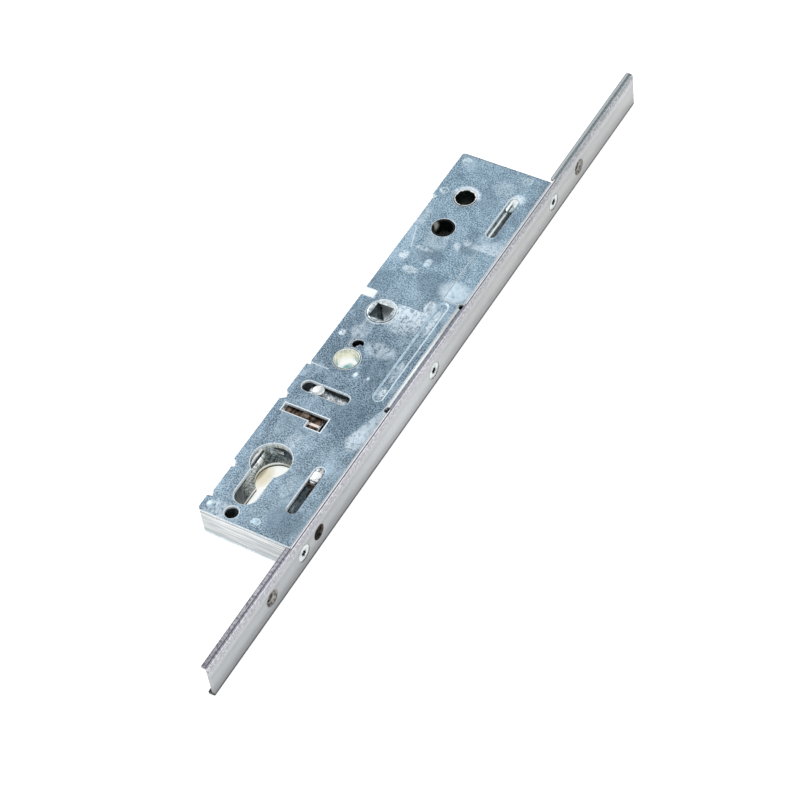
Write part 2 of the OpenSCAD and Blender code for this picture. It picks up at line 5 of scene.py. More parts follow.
import bmesh
import bpy
from mathutils import Matrix, Vector


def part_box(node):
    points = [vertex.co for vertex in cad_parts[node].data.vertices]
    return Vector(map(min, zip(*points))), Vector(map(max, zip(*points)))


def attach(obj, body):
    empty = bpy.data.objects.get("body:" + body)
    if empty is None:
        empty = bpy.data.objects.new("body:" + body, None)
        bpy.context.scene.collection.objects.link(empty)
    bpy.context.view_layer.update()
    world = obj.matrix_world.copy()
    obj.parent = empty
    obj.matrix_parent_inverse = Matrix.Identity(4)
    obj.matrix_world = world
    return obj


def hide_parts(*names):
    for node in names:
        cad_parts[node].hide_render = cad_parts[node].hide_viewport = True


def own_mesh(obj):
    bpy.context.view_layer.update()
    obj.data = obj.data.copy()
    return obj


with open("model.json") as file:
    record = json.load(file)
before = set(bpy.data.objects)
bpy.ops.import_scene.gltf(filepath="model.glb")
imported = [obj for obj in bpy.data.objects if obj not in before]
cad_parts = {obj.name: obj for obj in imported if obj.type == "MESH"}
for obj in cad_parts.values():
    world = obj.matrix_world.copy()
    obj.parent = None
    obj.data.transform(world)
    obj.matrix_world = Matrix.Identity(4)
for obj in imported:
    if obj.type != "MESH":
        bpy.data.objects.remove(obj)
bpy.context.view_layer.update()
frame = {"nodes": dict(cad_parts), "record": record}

MM = 0.001
X, Y, Z = 0, 1, 2
# The camera of the photograph: in front of the faceplate, towards its lower end, about 50 degrees up
CAMERA_AT = Vector((0.435094, -0.482245, 0.814051))
CAMERA_RIGHT = Vector((0.86050, 0.50000, -0.09809))
CAMERA_UP = Vector((-0.33487, 0.69974, 0.63086))
FOCAL_LENGTH = 110.466
SENSOR_WIDTH = 36
LOCK_MIDDLE = Vector((0.01, 0.085, 0))
FLOOR_Z = -10.05 * MM
# Rays that see the surroundings in full brightness, and the glow of the floor
SEEN_RAYS = ("Is Camera Ray", "Is Glossy Ray", "Is Transmission Ray")
SHARP = math.radians(30)     # edges sharper than this are rounded
FLAT = math.radians(0.6)     # faces that differ by less are joined
SAME_POINT = 2e-6            # points nearer than this are joined, in metres

# Places on the lock in millimetres, those along it measured from the cylinder's axis
PLATE_TOP = 8.0              # outer face of the cover, along Z
BUSH = 62                    # height of the second through hole
HANDLE = 92                  # height of the handle's axis
UPPER_SCREW = 168            # height of the upper handle screw hole
# Marks on the cover, placed after the photograph: x, y, half lengths along X and Y, and strength
DARK_CLOUDS = (
    (17, 36, 9, 12, 0.35), (16, 62, 9, 10, 0.3), (12, 116, 9, 8, 0.4), (4, 130, 7, 7, 0.4),
    (17, 141, 6, 5, 0.4), (-9, 108, 6, 9, 0.3), (22, -25, 10, 10, 0.45), (8, 171, 9, 7, 0.25))
WIPED_SMEARS = (
    (27, 24, 4.5, 7, 0.7), (23.5, 52, 1.9, 4.5, 0.9), (23.5, 65, 1.9, 8, 0.6), (23.5, 96, 1.9, 10, 0.8),
    (11, 72, 9, 5, 0.45), (-3, 78, 5, 5, 0.55), (12, 91, 12, 9, 0.55), (3, 93, 9, 6, 0.5),
    (18.5, 103, 3.5, 5, 0.9), (24, 115, 8, 7, 0.5), (-8, 125.6, 2.6, 3.4, 0.9), (-2, 132.6, 6.5, 1.5, 0.6),
    (-1, 119, 4.5, 2.6, 0.8), (11.4, 140, 2.4, 3, 0.6), (14.6, 144, 2.4, 3, 0.6), (1, 141, 8, 7, 0.3),
    (22.5, 177, 4.0, 3.4, 1.0), (3, 12, 4, 7, 0.4), (-6, -32, 8, 6, 0.5), (14, -10, 3, 6, 0.3),
    (-12, 150, 3, 10, 0.4), (14, 180, 6, 6, 0.3), (-9.75, 74.5, 2.0, 2.2, 1.0))
SOFT_SMEARS = (
    (24, 115.5, 9.5, 8, 0.9), (20.5, 148, 4, 6, 0.4), (23, 177, 4.2, 3.6, 0.9), (28, 30, 4, 9, 0.35),
    (2, 136, 7, 3, 0.3), (17, 143, 5, 3, 0.4))
PALE_SPOTS = ((8.2, 55.8, 1.3, 1.9, 0.95), (14.4, 56.1, 0.8, 1.2, 0.95), (4.5, 125.6, 1.9, 2.7, 0.95))
# Places on the cover as ranges of x or of y
BUMP_X, BUMP_Y = (2.2, 6.8), (122.4, 128.8)
BEAD_REAR_X, BEAD_FRONT_X = (20.5, 23.2), (23.2, 26.5)
BEAD_SLOPE_Y, BEAD_EDGE_Y = (44, 111), (46, 109)
BEND_Y = (45, 109)
STEP_Y = (53, 103)
LOWER_LUG_Y, UPPER_LUG_Y = (-19, 1), (152, 170)
BETWEEN_SLOTS_Y = (10, 148)
FAR_SLOPE_X, FAR_EDGE_X, SLOT_END_X = (23.4, 24.6), (23.4, 24.4), (19, 24.4)
# The cylinder bore, and the recess in a screw's head: its depth along X and half its width
BORE_X, BORE_Y = (-10, 10), (-26, 10)
RECESS_X, RECESS_HALF = (31.5, 33.8), 1.8
# Open holes in the front of the faceplate: height, and half the width of the square around each
OPEN_HOLES = ((-55.5, 4.3), (-18.5, 3.9), (213.8, 4.3))

# The cover's finishes by their place in its row; the last is for the edges that the rounding makes
# fold paints shade on faces and edges turned away from the light
# press, line, edge and front_edge_highlight paint highlights on slopes and edges, press the softer ones;
COVER_LOOKS = ("cover", "press", "fold", "line", "edge", "front_edge_highlight", "edge")
PLAIN, PRESSED, FOLDED, LINED, CUT, FRONT, ROUNDED = range(len(COVER_LOOKS))
# The rows of the other nodes: the main finish, the one inside openings, the one of cut and rounded edges
MAIN, DARK, RIM = range(3)
# Nodes that are dressed by a call of their own
DRESSED_APART = {"case_cover", "back_plate", "faceplate", "faceplate_screws", "guide_lugs", "deadlock_pins",
                 "balance_spring"}
# Nodes whose finish isn't the one of their slot
OWN_LOOKS = {"case_rim": "rim", "drive_slide": "slide", "follower": "follower", "spacer_posts": "stake",
             "through_bush": "through_bush", "cylinder_cradle": "cradle", "drive_rail": "rail",
             "deadlock_slide": "bar"}
# Width of the rounded edges in millimetres, narrower on nodes with thin or stepped walls
EDGE_WIDTH = 0.12
NARROW_EDGES = {"case_rim": 0.04, "drive_slide": 0.06, "detent_leaf": 0.06, "deadlock_leaf": 0.06}


def rgb(red, green, blue):
    """A colour written as it shows on screen, from 0 to 255, as Blender's linear colour."""
    def linear(value):
        value /= 255
        return value / 12.92 if value <= 0.04045 else ((value + 0.055) / 1.055) ** 2.4
    return (linear(red), linear(green), linear(blue), 1.0)


class Finish:
    """One node material. Sizes are in millimetres on the object, shares run from 0 to 1."""

    def __init__(self, name, metal=1.0, rough=0.4):
        self.material = bpy.data.materials.new(name)
        self.material.use_nodes = True
        self.tree = self.material.node_tree
        self.shader = self.tree.nodes["Principled BSDF"]
        self.shader.inputs["Metallic"].default_value = metal
        self.shader.inputs["Roughness"].default_value = rough
        self.coordinates = self.node("ShaderNodeTexCoord")
        self.mm = self.vector("SCALE", self.coordinates.outputs["Object"], scale=1 / MM)
        self.parts = {}

    def node(self, kind, **settings):
        """A new node of the material, with its settings."""
        new = self.tree.nodes.new(kind)
        for key, value in settings.items():
            setattr(new, key, value)
        return new

    def link(self, value, socket):
        """Joins an output to a socket, or writes a plain number or colour on the socket."""
        if isinstance(value, bpy.types.NodeSocket):
            self.tree.links.new(value, socket)
        else:
            socket.default_value = value

    def vector(self, operation, a, b=None, scale=None):
        new = self.node("ShaderNodeVectorMath", operation=operation)
        self.link(a, new.inputs[0])
        if b is not None:
            self.link(b, new.inputs[1])
        if scale is not None:
            new.inputs["Scale"].default_value = scale
        return new.outputs[0]

    def split(self, name, source):
        """X, Y and Z of a vector, split once and kept by name."""
        if name not in self.parts:
            new = self.node("ShaderNodeSeparateXYZ")
            self.link(source, new.inputs[0])
            self.parts[name] = new
        return self.parts[name].outputs

    def axis(self, index):
        """X, Y or Z on the object in millimetres."""
        return self.split("place", self.mm)[index]

    def facing(self, index, low=0.5, high=0.8):
        """1 on faces that look along that axis."""
        return self.ramp(self.split("normal", self.coordinates.outputs["Normal"])[index], low, high)

    def math(self, operation, a, b=0.0, clamp=False):
        new = self.node("ShaderNodeMath", operation=operation, use_clamp=clamp)
        self.link(a, new.inputs[0])
        self.link(b, new.inputs[1])
        return new.outputs[0]

    def times(self, first, *others):
        """The product of them all."""
        for other in others:
            first = self.math("MULTIPLY", first, other)
        return first

    def ramp(self, value, low, high, start=0.0, end=1.0):
        """start where value is at low, end where it is at high, and a smooth change between."""
        new = self.node("ShaderNodeMapRange", interpolation_type="SMOOTHSTEP")
        sockets = ("Value", "From Min", "From Max", "To Min", "To Max")
        for socket, given in zip(sockets, (value, low, high, start, end)):
            self.link(given, new.inputs[socket])
        return new.outputs[0]

    def between(self, value, low, high, soft=0.3):
        """1 where value lies between low and high, with soft ends."""
        above = self.ramp(value, low - soft, low + soft)
        below = self.ramp(value, high - soft, high + soft, 1, 0)
        return self.times(above, below)

    def band(self, index, low, high, soft=0.3):
        """1 between low and high along an axis, with soft ends."""
        return self.between(self.axis(index), low, high, soft)

    def radius(self, x, y):
        """Distance in millimetres from a line along Z."""
        across = self.math("SUBTRACT", self.axis(X), x)
        along = self.math("SUBTRACT", self.axis(Y), y)
        return self.math("SQRT", self.math("ADD", self.times(across, across), self.times(along, along)))

    def noise(self, size, detail=3.0, rough=0.55, stretch=(1, 1, 1), warp=0.0, shift=0.0):
        """Noise from 0 to 1 whose grains measure about size, drawn out by stretch."""
        place = self.vector("MULTIPLY", self.mm, tuple(1 / (size * s) for s in stretch))
        if shift:
            place = self.vector("ADD", place, (shift, shift, shift))
        new = self.node("ShaderNodeTexNoise")
        self.link(place, new.inputs["Vector"])
        for socket, given in (("Scale", 1.0), ("Detail", detail), ("Roughness", rough), ("Distortion", warp)):
            new.inputs[socket].default_value = given
        return new.outputs["Fac"]

    def blend(self, share, a, b, mode="MIX"):
        """The tone a where share is 0 and b where it is 1."""
        new = self.node("ShaderNodeMix", data_type="RGBA", blend_type=mode)
        for socket, given in ((new.inputs[0], share), (new.inputs[6], a), (new.inputs[7], b)):
            self.link(given, socket)
        return new.outputs[2]

    def patch(self, x, y, radius_x, radius_y, soft=0.7):
        """1 inside an ellipse on the plate, fading out to 0 at its edge."""
        across = self.math("DIVIDE", self.math("SUBTRACT", self.axis(X), x), radius_x)
        along = self.math("DIVIDE", self.math("SUBTRACT", self.axis(Y), y), radius_y)
        both = self.math("ADD", self.times(across, across), self.times(along, along))
        return self.ramp(both, 1.0, 1.0 - soft)

    def paint(self, colour, rough=None, height=None, depth=0.02):
        """Sets colour, roughness and bump; depth is the bump's height in millimetres."""
        self.link(colour, self.shader.inputs["Base Color"])
        if rough is not None:
            self.link(rough, self.shader.inputs["Roughness"])
        if height is not None:
            bump = self.node("ShaderNodeBump")
            bump.inputs["Distance"].default_value = depth * MM
            self.link(height, bump.inputs["Height"])
            self.link(bump.outputs[0], self.shader.inputs["Normal"])
        return self.material


def marked(f, colour, marks, tone, *shares, soft=0.7):
    """The colour with marks in another tone, each by its own strength times the given shares."""
    for x, y, half_x, half_y, strength in marks:
        part = f.times(f.patch(x, y, half_x, half_y, soft), *shares, strength)
        colour = f.blend(part, colour, tone)
    return colour


def cover_zinc(name):
    """Galvanised cover: blue-grey with coarse speckle, darker by the slots, with wiped whitish smears and
    painted light.
    """
    f = Finish(name, metal=0.75, rough=0.45)
    speckle = f.noise(0.62, detail=4, rough=0.75)
    share = f.ramp(speckle, 0.445, 0.555)
    # painted light: darker in the middle of the cover, brighter towards its upper end where the lamp's
    # reflection falls
    foot = f.blend(share, rgb(80, 100, 116), rgb(174, 194, 206))
    middle = f.blend(share, rgb(56, 73, 88), rgb(158, 181, 196))
    head = f.blend(share, rgb(84, 111, 129), rgb(180, 204, 218))
    colour = f.blend(f.ramp(f.axis(Y), 8, 30), foot, middle)
    colour = f.blend(f.ramp(f.axis(Y), 75, 125), colour, head)
    clouds = f.noise(13, detail=4, rough=0.6, warp=1.0, stretch=(1, 1.5, 1))
    colour = f.blend(f.ramp(clouds, 0.48, 0.70, 0.0, 0.45), colour, rgb(186, 206, 219))
    colour = f.blend(f.ramp(clouds, 0.46, 0.30, 0.0, 0.4), colour, rgb(88, 108, 124))
    mottle = f.noise(3.2, detail=4, warp=0.8, shift=11)
    colour = f.blend(f.ramp(mottle, 0.55, 0.68, 0.0, 0.25), colour, rgb(192, 212, 224))
    colour = f.blend(f.ramp(mottle, 0.45, 0.33, 0.0, 0.25), colour, rgb(80, 99, 115))
    colour = marked(f, colour, DARK_CLOUDS, rgb(84, 105, 121))

    pale = rgb(226, 236, 241)
    wisps = f.noise(1.5, detail=6, rough=0.8, stretch=(1, 1.5, 1), shift=7, warp=0.5)
    colour = marked(f, colour, WIPED_SMEARS, pale, f.ramp(wisps, 0.41, 0.55))
    blurred = f.ramp(mottle, 0.34, 0.56, 0.35, 1.0)
    colour = marked(f, colour, SOFT_SMEARS, rgb(208, 225, 234), blurred, soft=1.0)
    colour = marked(f, colour, PALE_SPOTS, pale, soft=1.0)

    # wiped areas with a straight side
    dense = f.ramp(wisps, 0.37, 0.52)
    by_follower = f.times(f.ramp(f.axis(Y), 85, 98), f.ramp(f.axis(Y), 99.5, 99.1), f.ramp(f.axis(X), 3, 9),
                          f.ramp(f.axis(X), 22, 19.5), f.ramp(wisps, 0.40, 0.53), 0.9)
    slanted = f.math("SUBTRACT", f.axis(X), f.times(f.axis(Y), 0.3))
    by_edge = f.times(f.ramp(f.axis(Y), 20, 28), f.ramp(f.axis(Y), 44.2, 43.4), f.ramp(slanted, 15.0, 16.4),
                      dense, 0.6)
    steep = f.math("SUBTRACT", f.axis(X), f.times(f.axis(Y), 1.1))
    torn = f.times(f.ramp(f.axis(Y), 141.4, 141.9), f.ramp(f.axis(Y), 157, 143), f.ramp(steep, -141, -136),
                   dense, 0.65)
    streak = f.math("ADD", f.axis(X), f.times(f.axis(Y), 0.33))
    drawn = f.times(f.between(streak, 35.6, 36.1, 0.35), f.band(Y, 131, 143, 2), 0.7)
    beside_bush = f.times(f.between(f.radius(0, UPPER_SCREW), 5.2, 7.2, 0.9), f.ramp(f.axis(Y), 167.5, 171),
                          dense)
    for part in (by_follower, by_edge, torn, drawn, beside_bush):
        colour = f.blend(part, colour, rgb(224, 235, 242))

    # painted highlights on the rear edge's slope and on the rims of openings, the front edge and the hub; the
    # line round the hub
    slope = f.times(f.band(X, -15, -7.5, 0.8), f.band(Y, 97.6, 101.8, 0.5))
    colour = f.blend(f.times(slope, 0.95), colour, rgb(252, 253, 253))
    ragged = f.ramp(wisps, 0.28, 0.42)
    slot_rim = f.math("MAXIMUM", f.times(f.band(X, -11.5, 11.3, 0.06), f.band(Y, 24.9, 30.0, 0.06)),
                      f.times(f.band(X, 2.7, 11.3, 0.06), f.band(Y, 21.3, 26, 0.06)))
    beside_lugs = f.math("ADD", f.band(Y, -19, 4, 1), f.band(Y, 152, 175, 1))
    guide_rim = f.times(f.band(X, 18.8, 19.5, 0.06), beside_lugs)
    past_bend = f.math("ADD", f.ramp(f.axis(Y), 44, 43), f.ramp(f.axis(Y), 110.5, 111.5))
    front_rim = f.times(f.ramp(f.axis(X), 30.85, 31.0), past_bend)
    hub_rim = f.times(f.between(f.radius(0, HANDLE), 7.0, 7.35, 0.1), 0.7)
    for part in (f.times(slot_rim, ragged), guide_rim, front_rim, f.times(hub_rim, ragged)):
        colour = f.blend(part, colour, rgb(240, 244, 246))
    hub_line = f.times(f.between(f.radius(0, HANDLE), 6.55, 6.85, 0.08), 0.6)
    colour = f.blend(hub_line, colour, rgb(52, 66, 76))

    scratch = f.noise(0.4, detail=2, stretch=(1, 45, 1), shift=3)
    colour = f.blend(f.ramp(scratch, 0.68, 0.80, 0.0, 0.5), colour, pale)
    cooler = (0.965, 1.0, 1.035, 1.0)
    colour = f.blend(1.0, colour, cooler, "MULTIPLY")
    return f.paint(colour, f.ramp(speckle, 0.3, 0.7, 0.36, 0.58), speckle, 0.014)


def sheet_zinc(name):
    """Galvanised sheet: speckled like the cover, without its smears."""
    f = Finish(name, metal=0.75, rough=0.45)
    speckle = f.noise(1.0, detail=6, rough=0.8)
    colour = f.blend(f.ramp(speckle, 0.41, 0.60), rgb(118, 136, 148), rgb(180, 198, 208))
    clouds = f.noise(13, detail=4, rough=0.6, warp=1.0)
    colour = f.blend(f.ramp(clouds, 0.48, 0.70, 0.0, 0.45), colour, rgb(200, 214, 222))
    return f.paint(colour, f.ramp(speckle, 0.3, 0.7, 0.38, 0.56), speckle, 0.01)


def rim_zinc(name):
    """Folded walls of the case: bright zinc with drawing lines along the fold."""
    f = Finish(name, metal=0.6, rough=0.42)
    lines = f.noise(0.8, detail=4, rough=0.6, stretch=(26, 26, 1))
    speckle = f.noise(1.4, detail=4, rough=0.7, shift=2)
    colour = f.blend(f.ramp(lines, 0.38, 0.62), rgb(184, 190, 193), rgb(238, 239, 240))
    colour = f.blend(f.ramp(speckle, 0.55, 0.75, 0.0, 0.5), colour, rgb(186, 194, 196))
    seams = f.math("ADD", f.band(Z, 6.0, 6.7, 0.15), f.band(Z, -6.7, -6.1, 0.15), clamp=True)
    colour = f.blend(f.times(seams, 0.7), colour, rgb(142, 148, 150))
    return f.paint(colour, 0.42, lines, 0.015)


def plated(name, dark, light, rough=0.32, metal=0.9, grain=0.6, depth=0.008):
    """Zinc-plated or bare metal: two tones in soft stains, with a fine grain."""
    f = Finish(name, metal=metal, rough=rough)
    stains = f.noise(4, detail=4, warp=0.5)
    fine = f.noise(grain, detail=3, rough=0.7)
    both = f.math("ADD", f.times(stains, 0.5), f.times(fine, 0.5))
    colour = f.blend(f.ramp(both, 0.38, 0.62), dark, light)
    return f.paint(colour, f.ramp(fine, 0.3, 0.7, rough - 0.08, rough + 0.12), fine, depth)


def slide_zinc(name):
    """Greased slide: brown with grease by the lower window; by the upper one, painted highlight, shade and
    light.
    """
    f = Finish(name, metal=0.7, rough=0.4)
    stains = f.noise(1.6, detail=5, rough=0.7, warp=0.5)
    share = f.ramp(stains, 0.40, 0.62)
    olive = f.blend(share, rgb(94, 82, 62), rgb(190, 172, 138))
    grey = f.blend(share, rgb(118, 112, 102), rgb(196, 190, 178))
    plum = f.blend(share, rgb(56, 46, 48), rgb(134, 118, 116))
    greasy = f.blend(f.ramp(f.axis(Y), -16, -8), grey, olive)
    greasy = f.blend(f.ramp(f.axis(Y), -8, 0), greasy, plum)
    clean = f.blend(share, rgb(84, 102, 108), rgb(164, 182, 186))
    # painted light: the slide much lighter beyond x 22, in the gap where shade falls
    bright = f.blend(share, rgb(196, 210, 216), rgb(246, 250, 252))
    clean = f.blend(f.ramp(f.axis(X), 21.9, 22.3), clean, bright)
    # a painted highlight line along the slide's edge, and a painted shade line beside it on the faces that
    # look up
    clean = f.blend(f.band(X, 20.3, 21.1, 0.15), clean, rgb(238, 243, 244))
    clean = f.blend(f.times(f.band(X, 21.5, 22.0, 0.12), f.facing(Z), 0.8), clean, rgb(30, 38, 40))
    # painted light on the side walls that face +X, deep in the gap
    clean = f.blend(f.facing(X, 0.5, 0.8), clean, f.blend(share, rgb(190, 208, 216), rgb(255, 255, 255)))
    return f.paint(f.blend(f.ramp(f.axis(Y), 80, 120), greasy, clean), 0.38, stains, 0.02)


def lug_zinc(name):
    """Lugs of the slide: bright with a round spot in the lower slot; in the upper, painted lines like the
    slide's and a painted highlight.
    """
    f = Finish(name, metal=0.85, rough=0.34)
    stains = f.noise(1.3, detail=4, rough=0.7)
    share = f.ramp(stains, 0.38, 0.62)
    low = f.blend(share, rgb(96, 104, 108), rgb(236, 241, 243))
    low = f.blend(f.ramp(f.radius(21.6, 1.8), 2.2, 1.6), low, rgb(240, 244, 246))
    low = f.blend(f.band(Y, -3.0, -2.2, 0.12), low, rgb(250, 252, 252))
    low = f.blend(f.times(f.band(Y, -1.9, -1.3, 0.12), 0.8), low, rgb(48, 50, 52))
    high = f.blend(share, rgb(120, 140, 146), rgb(206, 220, 224))
    # painted highlight line and painted shade line, as on the slide
    high = f.blend(f.band(X, 20.3, 21.1, 0.15), high, rgb(244, 248, 249))
    high = f.blend(f.times(f.band(X, 21.5, 22.0, 0.12), f.ramp(f.axis(Y), 174, 172)), high, rgb(34, 44, 46))
    # painted highlight on the corner of the upper lug
    corner = f.ramp(f.math("ADD", f.axis(Y), f.axis(X)), 194.6, 196.6)
    high = f.blend(corner, high, f.blend(share, rgb(196, 210, 214), rgb(248, 251, 251)))
    return f.paint(f.blend(f.ramp(f.axis(Y), 80, 120), low, high), 0.34, stains, 0.03)


def strip_steel(name):
    """Satin strip of the faceplate: brushed along its length, stained and speckled, with painted light and
    shade.
    """
    f = Finish(name, metal=0.8, rough=0.42)
    brushed = f.noise(0.5, detail=4, rough=0.7, stretch=(1, 14, 1))
    stains = f.noise(5, detail=5, rough=0.6, stretch=(1, 2.6, 1), warp=0.6)
    speckle = f.noise(1.1, detail=5, rough=0.75)
    fine = f.ramp(brushed, 0.35, 0.65)
    dots = f.ramp(speckle, 0.45, 0.57)
    # front face: painted light in soft bands along the strip, speckled towards the near edge, painted shade
    # along the far one
    web = f.blend(f.ramp(f.axis(Y), 0, 150), f.blend(fine, rgb(146, 150, 154), rgb(172, 175, 178)),
                  f.blend(fine, rgb(160, 162, 163), rgb(184, 185, 185)))
    web = f.blend(f.ramp(stains, 0.50, 0.74, 0.0, 0.4), web, rgb(142, 146, 152))
    web = f.blend(f.times(f.band(Z, -2.5, 3.0, 3.0), 0.35), web, rgb(196, 198, 198))
    web = f.blend(f.times(f.band(Z, 4.0, 6.6, 1.3), 0.6), web, rgb(204, 208, 212))
    web = f.blend(f.times(f.band(Y, 20, 82, 26), 0.4), web, rgb(216, 219, 223))
    edge_tone = f.blend(f.ramp(f.axis(Y), 60, 190), rgb(180, 182, 190), rgb(126, 134, 139))
    web = f.blend(f.ramp(f.axis(Z), 6.6, 8.0, 0.0, 0.75), web, edge_tone)
    web = f.blend(f.times(f.ramp(f.axis(Z), 2.5, 7.5), dots, 0.6), web, rgb(146, 142, 150))
    flecks = f.ramp(f.noise(0.8, detail=3, shift=9), 0.52, 0.6)
    web = f.blend(f.times(f.ramp(f.axis(Z), 4.0, 8.0), flecks, 0.5), web, rgb(238, 234, 240))
    # painted shade on the lower part of the face and along its far edge
    shade = f.ramp(f.axis(Y), -20, 70, 0.6, 0.42)
    web = f.blend(f.times(f.ramp(f.axis(Z), -2.0, -7.5), shade), web, rgb(122, 124, 126))
    web = f.blend(f.ramp(f.axis(Z), -7.0, -8.2, 0.0, 0.92), web, rgb(44, 46, 48))
    # flange: bands of painted light and shade across it, darkest in the gap at its inner edge, and a tone
    # that changes from the lower end of the strip to the upper one
    outer = f.band(X, 32.3, 32.75, 0.1)
    lower = f.blend(outer, f.blend(dots, rgb(170, 171, 178), rgb(112, 112, 120)), rgb(84, 85, 96))
    upper = f.blend(outer, f.blend(dots, rgb(156, 164, 168), rgb(118, 126, 130)), rgb(104, 114, 118))
    inner = f.blend(dots, rgb(164, 165, 172), rgb(104, 105, 114))
    lower = f.blend(f.ramp(f.axis(X), 31.9, 31.7), lower, inner)
    upper = f.blend(f.ramp(f.axis(X), 31.9, 31.7), upper, rgb(182, 190, 193))
    lower = f.blend(f.ramp(f.axis(X), 31.0, 30.7), lower, rgb(70, 68, 82))
    upper = f.blend(f.ramp(f.axis(X), 31.0, 30.7), upper, rgb(84, 100, 104))
    side = f.blend(f.ramp(f.axis(Y), 100, 190), lower, upper)
    # beside the case: a paler side, with a painted highlight of the cover's front edge and a painted shadow
    # in the gap along it
    beside_case = f.blend(dots, rgb(196, 192, 202), rgb(142, 138, 150))
    open_front = f.band(Y, 44, 110.5, 0.4)
    inner_edge = f.blend(open_front, rgb(250, 252, 254), rgb(146, 150, 158))
    beside_case = f.blend(f.ramp(f.axis(X), 32.95, 32.75), beside_case, inner_edge)
    gap_shadow = f.times(f.band(X, 32.95, 33.3, 0.08), f.ramp(open_front, 0, 1, 0.9, 0.5))
    beside_case = f.blend(gap_shadow, beside_case, rgb(58, 62, 74))
    side = f.blend(f.band(Y, -36.5, 193.4, 0.4), side, beside_case)
    # painted highlight along the crest of the strip's rounded edge, flecked with dots
    crest = f.blend(f.ramp(f.axis(Y), 60, 200), rgb(238, 241, 249), rgb(200, 210, 216))
    crest = f.blend(f.times(dots, 0.35), crest, rgb(132, 130, 142))
    side = f.blend(f.ramp(f.axis(X), 33.25, 33.45, 0.0, 0.85), side, crest)
    tone = f.blend(f.ramp(f.axis(Z), 9.3, 9.6), web, side)
    return f.paint(tone, f.ramp(brushed, 0.3, 0.7, 0.34, 0.52), brushed, 0.01)


def through_bush_zinc(name):
    """Polished bush: painted light inside, a greenish painted shade deep down on the side in view, a dark
    line round its mouth.
    """
    f = Finish(name, metal=0.9, rough=0.28)
    stains = f.noise(2.5, detail=4, rough=0.65, warp=0.5)
    share = f.ramp(stains, 0.38, 0.62)
    depth = f.math("ADD", f.axis(Z), f.times(stains, 2.4))
    # painted light: the wall is white where light falls in and beige at the mouth, with greenish painted
    # shade deep down
    mouth = f.blend(share, rgb(222, 223, 208), rgb(254, 254, 246))
    seen_side = f.math("SUBTRACT", f.math("SUBTRACT", f.axis(Y), BUSH), f.axis(X))
    deep = f.blend(share, rgb(110, 158, 162), rgb(196, 222, 222))
    deep = f.blend(f.ramp(seen_side, 3.0, 6.0), rgb(246, 244, 228), deep)
    wall = f.blend(f.ramp(depth, -2.0, 0.4), deep, rgb(255, 255, 254))
    wall = f.blend(f.ramp(depth, 3.6, 6.0), wall, mouth)
    face = f.blend(f.ramp(f.radius(0, BUSH), 5.75, 5.95), rgb(214, 222, 222), rgb(74, 88, 96))
    return f.paint(f.blend(f.facing(Z), wall, face), f.ramp(stains, 0.3, 0.7, 0.12, 0.24), stains, 0.02)


def worn_bush(name):
    """Dark bush with a bright mouth, ragged where its plating is torn."""
    f = Finish(name, metal=0.6, rough=0.4)
    ragged = f.noise(1.1, detail=4, rough=0.7)
    dark = f.blend(f.ramp(ragged, 0.4, 0.6), rgb(10, 20, 18), rgb(34, 48, 46))
    away = f.radius(0, UPPER_SCREW)
    torn = f.ramp(f.math("SUBTRACT", away, f.times(ragged, 2.2)), 3.5, 3.62)
    face = f.blend(torn, rgb(22, 32, 30), rgb(242, 246, 247))
    outline = f.times(f.ramp(away, 4.98, 5.12), f.ramp(f.axis(Y), UPPER_SCREW + 2, UPPER_SCREW))
    face = f.blend(outline, face, rgb(48, 60, 66))
    return f.paint(f.blend(f.facing(Z), dark, face), 0.38, ragged, 0.05)


def nylon(name):
    """Glossy black nylon with a painted highlight, a soft sheen, on its far wall."""
    f = Finish(name, metal=0.0, rough=0.2)
    f.shader.inputs["Specular IOR Level"].default_value = 0.12
    # painted highlight on the far wall of the hole
    place = f.vector("MULTIPLY", f.vector("SUBTRACT", f.mm, (-4.3, 148.2, 6.0)), (1.0, 0.9, 0.6))
    away = f.node("ShaderNodeVectorMath", operation="LENGTH")
    f.link(place, away.inputs[0])
    sheen = f.ramp(away.outputs["Value"], 2.1, 0.3, 0.0, 0.9)
    return f.paint(f.blend(sheen, rgb(14, 18, 17), rgb(226, 228, 218)))


def follower_casting(name):
    """Cast hub with turned rings; in its square hole painted light on the wall that faces -Y, painted shade
    on the others.
    """
    f = Finish(name, metal=0.9, rough=0.3)
    stains = f.noise(1.4, detail=4, rough=0.65)
    share = f.ramp(stains, 0.40, 0.60)
    away = f.radius(0, HANDLE)
    left = f.blend(share, rgb(96, 110, 118), rgb(176, 190, 197))
    right = f.blend(share, rgb(168, 184, 192), rgb(228, 236, 240))
    face = f.blend(f.ramp(f.axis(Y), 89, 95), left, right)
    face = f.blend(f.times(f.between(away, 5.95, 6.2, 0.08), 0.8), face, rgb(240, 244, 246))
    face = f.blend(f.times(f.between(away, 5.55, 5.75, 0.08), 0.6), face, rgb(60, 74, 84))
    # painted light on the wall that faces -Y, painted shade on the other walls of the hole
    light = f.ramp(f.math("ADD", f.axis(X), f.times(stains, 2.4)), -1.6, -1.0)
    pale = f.blend(share, rgb(236, 242, 244), rgb(255, 255, 255))
    dull = f.blend(share, rgb(62, 74, 78), rgb(124, 136, 140))
    wall = f.blend(f.times(f.facing(Y, -0.5, -0.9), light), dull, pale)
    in_hole = f.times(f.band(X, -4.5, 4.5, 0.1), f.band(Y, HANDLE - 4.5, HANDLE + 4.5, 0.1))
    inside = f.times(in_hole, f.facing(Z, 0.6, 0.3))
    return f.paint(f.blend(inside, face, wall), 0.3, stains, 0.02)


